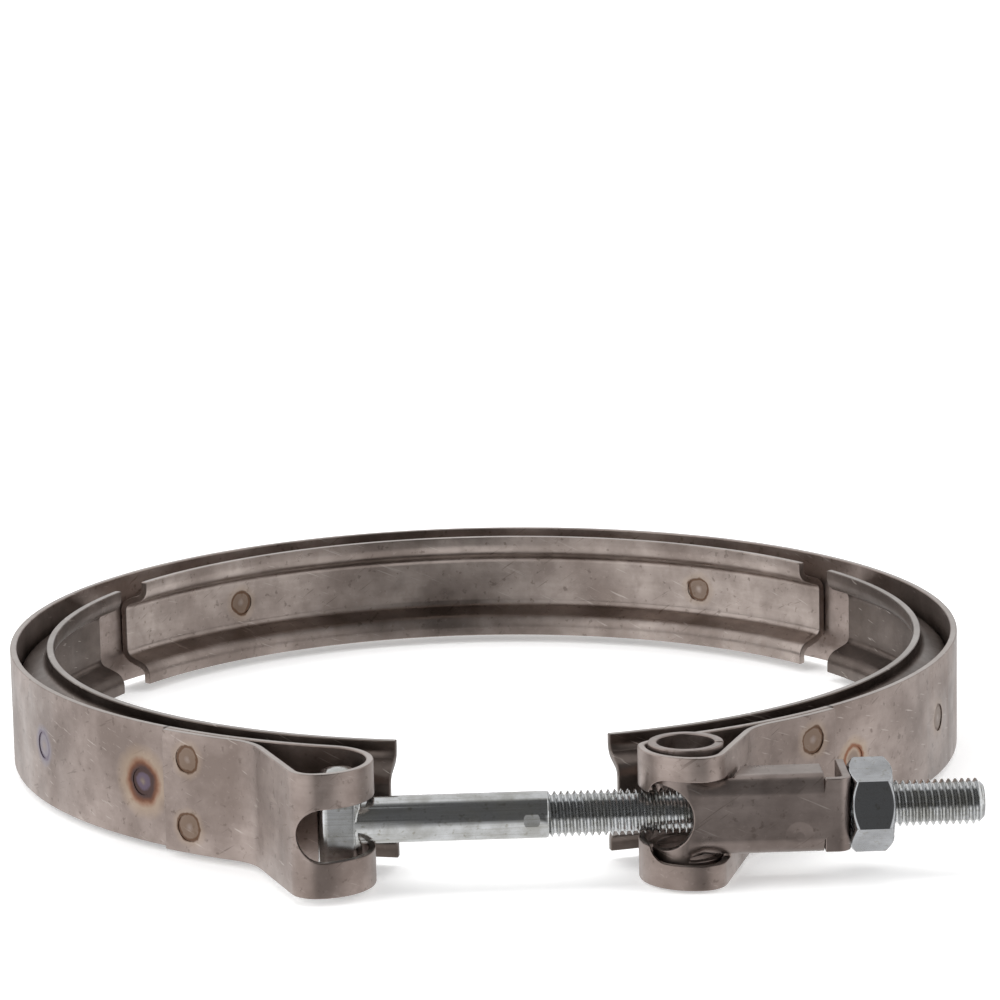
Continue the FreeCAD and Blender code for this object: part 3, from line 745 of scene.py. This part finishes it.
TRUNNION_THICKNESS = 0.0012
BARREL_SETBACK = 0.0013
BARREL_SEAM = radians(9.5)
BARREL_SEAM_GAP = radians(5)
RIM_START = 0.0059
EYE_HEIGHT = 0.0091
EYE_SETBACK = 0.0007
SPOUT_HEIGHT = 0.011
SPOUT_DEPTH = 0.0067
SPOUT_EDGE_R = 0.0025
SPOUT_CLEARANCE = 0.0005
EDGE_STEP = radians(11.25)
NECK_EDGE_STEPS = 6
NECK_BLEND = 0.002
NOTCH_LENGTH = 0.0024
SPOUT_DENT_R = 0.002
END_WALL_HEIGHT = 0.0102
END_WALL_BACK = 0.005
END_WALL_BEND_R = 0.0012
BARREL_STEP = radians(6)
WALL_STEP = radians(10)
BOLT_HOLE_CLEARANCE = 0.0004
bolt_hole_r = BOLT_R + BOLT_HOLE_CLEARANCE
trunnion_low, trunnion_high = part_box("trunnion")
half_sheet = TRUNNION_THICKNESS / 2
front_y = trunnion_low.y + half_sheet
barrel_center = Vector((loop_x - BARREL_SETBACK, loop_y, 0))
barrel_r = loop_y - trunnion_low.y
edge_r = SPOUT_EDGE_R - half_sheet
flat_z = SPOUT_HEIGHT / 2 - SPOUT_EDGE_R
flange_rise = trunnion_low.y + SPOUT_DEPTH - leg_foot.y
leg_face_x = leg_foot.x + flange_rise * tan(LEG_LEAN) + STRIP_THICKNESS / cos(LEG_LEAN) / 2
spout_x = leg_face_x + SPOUT_CLEARANCE
notch_x = trunnion_high.x - TRUNNION_THICKNESS - NOTCH_LENGTH


def edges_at(bm, x, reach):
    """Edges of the sheet that stand at one place along the bolt, out to a height."""
    return [e for e in bm.edges
            if all(abs(v.co.x - x) < MESH_GAP and abs(v.co.z) < reach + MESH_GAP for v in e.verts)]


def verts_at(bm, x, z):
    """Vertices of the sheet's flat front at one place."""
    place = Vector((x, front_y, z))
    return [v for v in bm.verts if (v.co - place).length < MESH_GAP]


def with_ends(edges):
    """Edges and the vertices at their ends."""
    return edges + list(dict.fromkeys(v for e in edges for v in e.verts))


def carry(bm, edges, offset):
    """Draws the sheet on from some of its edges, along a straight line."""
    return straight_on(bm, with_ends(edges), offset)


def trunnion_sheet():
    """Middle plane of the trunnion: channel, neck, rolled end and end wall, from one blank."""
    bm = bmesh.new()
    lead = [bm.verts.new((spout_x, front_y, 0))]
    lead = straight_on(bm, lead, (0, 0, flat_z))
    lead = bend_on(bm, lead, (spout_x, front_y + edge_r, flat_z), pi / 2, axis=(-1, 0, 0),
                   step=EDGE_STEP)
    straight_on(bm, lead, (0, SPOUT_DEPTH - SPOUT_EDGE_R, 0))
    bmesh.ops.mirror(bm, geom=bm.edges[:] + bm.verts[:], axis="Z", merge_dist=MESH_GAP)
    merge(bm)
    profile = bm.edges[:]
    neck_turn = NECK_EDGE_STEPS * EDGE_STEP
    neck_z = flat_z + edge_r * sin(neck_turn)
    neck_y = front_y + edge_r * (1 - cos(neck_turn))
    neck = [e for e in profile if all(v.co.y < neck_y + MESH_GAP for v in e.verts)]
    carry(bm, neck, (barrel_center.x + NECK_BLEND - spout_x, 0, 0))
    carry(bm, profile, (notch_x - spout_x, 0, 0))
    merge(bm)
    carry(bm, edges_at(bm, barrel_center.x + NECK_BLEND, neck_z), (-NECK_BLEND, 0, 0))
    merge(bm)
    for vert in bm.verts:
        if abs(vert.co.x - barrel_center.x) < MESH_GAP and abs(vert.co.z) > flat_z + FINE_GAP:
            side = 1 if vert.co.z > 0 else -1
            vert.co.z = side * (flat_z + edge_r * asin((abs(vert.co.z) - flat_z) / edge_r))
            vert.co.y = front_y
    for side in (-1, 1):
        tip = max((v for v in bm.verts if abs(v.co.x - barrel_center.x) < MESH_GAP),
                  key=lambda v: side * v.co.z)
        straight_on(bm, [tip], (0, 0, side * RIM_START - tip.co.z))
        merge(bm)
        rim = verts_at(bm, barrel_center.x, side * RIM_START)
        straight_on(bm, rim, (0, 0, side * (trunnion_high.z - RIM_START)))
        merge(bm)
    seam = BARREL_SEAM_GAP / 2
    root = edges_at(bm, barrel_center.x, trunnion_high.z)
    rims = [e for e in root if all(abs(v.co.z) > RIM_START - MESH_GAP for v in e.verts)]
    bend_on(bm, with_ends(root), barrel_center, -(1.5 * pi + BARREL_SEAM - seam), step=BARREL_STEP)
    bend_on(bm, with_ends(rims), barrel_center, pi / 2 - BARREL_SEAM - seam, step=BARREL_STEP)
    merge(bm)
    for side in (-1, 1):
        foot = verts_at(bm, notch_x, side * flat_z)
        straight_on(bm, foot, (0, 0, side * (END_WALL_HEIGHT / 2 - flat_z)))
        merge(bm)
    plate = [e for e in edges_at(bm, notch_x, END_WALL_HEIGHT / 2)
             if all(abs(v.co.y - front_y) < FINE_GAP for v in e.verts)]
    wall_x = trunnion_high.x - half_sheet
    lead = carry(bm, plate, (wall_x - END_WALL_BEND_R - notch_x, 0, 0))
    lead = bend_on(bm, lead, (wall_x - END_WALL_BEND_R, front_y + END_WALL_BEND_R, 0), pi / 2,
                   step=WALL_STEP)
    straight_on(bm, lead, (0, loop_y + END_WALL_BACK - front_y - END_WALL_BEND_R, 0))
    flange_y = trunnion_low.y + SPOUT_DEPTH
    for vert in bm.verts:
        if abs(vert.co.x - spout_x) < MESH_GAP:
            vert.co.x -= (flange_y - vert.co.y) * tan(LEG_LEAN)
    return piece_from(bm, "rolled_trunnion")


trunnion = trunnion_sheet()
thicken(trunnion, TRUNNION_THICKNESS)
eye_r = EYE_HEIGHT / 2
eye_center = Vector((loop_x - EYE_SETBACK - eye_r, loop_y, 0))
reach = Vector((2 * barrel_r, 2 * barrel_r, 0))
up = Vector((0, 0, eye_r))
combine(trunnion, [
    rod(eye_center, eye_center - Vector((0, 2 * barrel_r, 0)), eye_r, sides=64),
    block(eye_center - reach - up, eye_center + up),
    block(barrel_center - Vector((2 * barrel_r, 0, 0)) - up, barrel_center + reach + up),
    rod(Vector((notch_x, loop_y, 0)), Vector((trunnion_high.x + NOTCH_LENGTH, loop_y, 0)),
        bolt_hole_r),
])
round_edges(trunnion, EDGE_ROUND)
spout_dent = Vector(((spout_x + trunnion_high.x) / 2, trunnion_low.y, -SPOUT_HEIGHT / 4))
TRUNNION_LIGHT = (0.33, 0.275, 0.253, 1)
TRUNNION_DARK = (0.18, 0.145, 0.13, 1)
give(trunnion, sheet_steel("trunnion_steel", TRUNNION_LIGHT, TRUNNION_DARK, roughness=0.35,
                           cut_edges=0.2, dents=[(spout_dent, SPOUT_DENT_R)]))
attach(trunnion, "trunnion")
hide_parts("trunnion")


# Nut
# Plated hexagon nut, chamfered on both faces, turned on the bolt against the trunnion's wall.

NUT_ACROSS_FLATS = 0.01111
NUT_TURN = radians(16.5)
NUT_CHAMFER = 0.0007
NUT_BORE_R = 0.003175
NUT_COUNTERSINK = 0.0004
NUT_LIGHT = (0.45, 0.46, 0.475, 1)
NUT_DARK = (0.34, 0.345, 0.355, 1)
nut_low, nut_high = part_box("hex_nut")
nut_near, nut_far = nut_low.x, nut_high.x
nut_r = NUT_ACROSS_FLATS / sqrt(3)


def hexagon(near, far, radius):
    """Closed six-sided bar round the bolt's axis, as it was left after tightening."""
    bm = bmesh.new()
    turn = Matrix.Rotation(NUT_TURN, 4, "X") @ Matrix.Rotation(pi / 2, 4, "Y")
    place = Matrix.Translation(((near + far) / 2, loop_y, 0)) @ turn
    bmesh.ops.create_cone(bm, cap_ends=True, segments=6, radius1=radius, radius2=radius,
                          depth=far - near, matrix=place)
    return piece_from(bm, "hexagon_nut")


nut = hexagon(nut_near, nut_far, nut_r)
lens = turned([(nut_near, 0), (nut_near, NUT_ACROSS_FLATS / 2), (nut_near + NUT_CHAMFER, nut_r),
               (nut_far - NUT_CHAMFER, nut_r), (nut_far, NUT_ACROSS_FLATS / 2), (nut_far, 0)], 96)
combine(nut, [lens], "INTERSECT")
mouth_r = NUT_BORE_R + 2 * NUT_COUNTERSINK
bore = turned([(nut_near - NUT_COUNTERSINK, 0), (nut_near - NUT_COUNTERSINK, mouth_r),
               (nut_near + NUT_COUNTERSINK, NUT_BORE_R), (nut_far - NUT_COUNTERSINK, NUT_BORE_R),
               (nut_far + NUT_COUNTERSINK, mouth_r), (nut_far + NUT_COUNTERSINK, 0)])
combine(nut, [bore])
round_edges(nut, EDGE_ROUND)
give(nut, plated_steel("nut_plating", NUT_LIGHT, NUT_DARK, roughness=0.16, streaks=0.08))
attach(nut, "nut")
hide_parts("hex_nut")


# Studio
# White paper floor and a white background. The steel mirrors a dim room with pale walls at its
# sides, behind and below, and three soft lamps, hidden from the steel, cast the floor's shadow.

FLOOR_SIZE = 3.0
PAPER_COLOR = (0.86, 0.86, 0.86, 1)
PAPER_ROUGHNESS = 0.9
GLOW_REACH = (0.12, 0.5)
GLOW_RANGE = (0.35, 0.8)
WHITE = (1, 1, 1, 1)
lowest = cad_box[0].z
floor_mesh = bmesh.new()
bmesh.ops.create_grid(floor_mesh, x_segments=1, y_segments=1, size=FLOOR_SIZE / 2,
                      matrix=Matrix.Translation((0, 0, lowest)))
floor = piece_from(floor_mesh, "floor")
paper = bpy.data.materials.new("white_paper")
paper.use_nodes = True
paper_tree = paper.node_tree
paper_shader = paper_tree.nodes["Principled BSDF"]
paper_shader.inputs["Base Color"].default_value = PAPER_COLOR
paper_shader.inputs["Roughness"].default_value = PAPER_ROUGHNESS
paper_shader.inputs["Emission Color"].default_value = WHITE
rays = add_node(paper_tree, "ShaderNodeLightPath").outputs
spot = add_node(paper_tree, "ShaderNodeTexCoord").outputs["Object"]
away = add_node(paper_tree, "ShaderNodeVectorMath", {0: spot}, operation="LENGTH").outputs["Value"]
glow = ranged(paper_tree, away, *GLOW_REACH, *GLOW_RANGE)
seen = value_of(paper_tree, "MULTIPLY", rays["Is Camera Ray"], glow)
paper_tree.links.new(seen, paper_shader.inputs["Emission Strength"])
clear = add_node(paper_tree, "ShaderNodeBsdfTransparent").outputs[0]
either = add_node(paper_tree, "ShaderNodeMixShader",
                  {0: rays["Is Glossy Ray"], 1: paper_shader.outputs[0], 2: clear}).outputs[0]
paper_tree.links.new(either, paper_tree.nodes["Material Output"].inputs["Surface"])
give(floor, paper)

# The room's walls: axis of the direction, where each starts and is full, and its light.
ROOM_DARK = 0.11
ROOM_WALLS = (("X", -0.05, -0.5, 1.25), ("X", 0.3, 0.8, 1.1), ("Y", 0.0, 0.25, 0.85),
              ("Z", -0.14, -0.5, 0.95))
world = bpy.data.worlds.new("studio")
scene.world = world
world.use_nodes = True
sky = world.node_tree
background = sky.nodes["Background"]
toward = add_node(sky, "ShaderNodeTexCoord").outputs["Generated"]
parts = add_node(sky, "ShaderNodeSeparateXYZ", {"Vector": toward}).outputs
room = ROOM_DARK
for axis, edge, full, light in ROOM_WALLS:
    room = value_of(sky, "MAXIMUM", room, ranged(sky, parts[axis], edge, full, ROOM_DARK, light))
sky_rays = add_node(sky, "ShaderNodeLightPath").outputs
sky.links.new(mixed(sky, sky_rays["Is Camera Ray"], room, WHITE), background.inputs["Color"])
background.inputs["Strength"].default_value = 1


def soft_light(name, place, size, power):
    """Area lamp that points at the clamp and isn't mirrored in it."""
    lamp = bpy.data.lights.new(name, "AREA")
    lamp.shape = "RECTANGLE"
    lamp.size, lamp.size_y = size
    lamp.energy = power
    holder = bpy.data.objects.new(name, lamp)
    turn = (-place).to_track_quat("-Z", "Y").to_matrix().to_4x4()
    holder.matrix_world = Matrix.Translation(place) @ turn
    holder.visible_glossy = False
    scene.collection.objects.link(holder)


# Lamps: place, width and length, and power in watts.
SOFT_LIGHTS = {"left_light": ((-0.9, -0.3, 0.5), (0.5, 0.7), 3),
               "right_light": ((0.9, -0.2, 0.5), (0.5, 0.7), 2.6),
               "top_light": ((0.0, 0.15, 0.9), (0.9, 0.6), 4)}
for name, (place, size, power) in SOFT_LIGHTS.items():
    soft_light(name, Vector(place), size, power)

# The camera stands where the photograph was taken from, a little left of the clamp's middle.
LENS = 160.1
CAMERA_AIM = Vector((0.0029, 0, 0.02808))
CAMERA_DISTANCE = 0.66605
CAMERA_RISE = radians(11.86)
CAMERA_ROLL = radians(-1.18)
CLAMP_TURN = radians(2.3)
look = bpy.data.cameras.new("camera")
look.lens = LENS
camera = bpy.data.objects.new("camera", look)
scene.collection.objects.link(camera)
back = Vector((0, -cos(CAMERA_RISE), sin(CAMERA_RISE)))
aim = back.to_track_quat("Z", "Y").to_matrix().to_4x4()
view = Matrix.Translation(CAMERA_AIM + back * CAMERA_DISTANCE) @ aim
round_clamp = Matrix.Rotation(-CLAMP_TURN, 4, "Z")
camera.matrix_world = round_clamp @ view @ Matrix.Rotation(CAMERA_ROLL, 4, "Z")
scene.camera = camera
scene.view_settings.view_transform = "Standard"
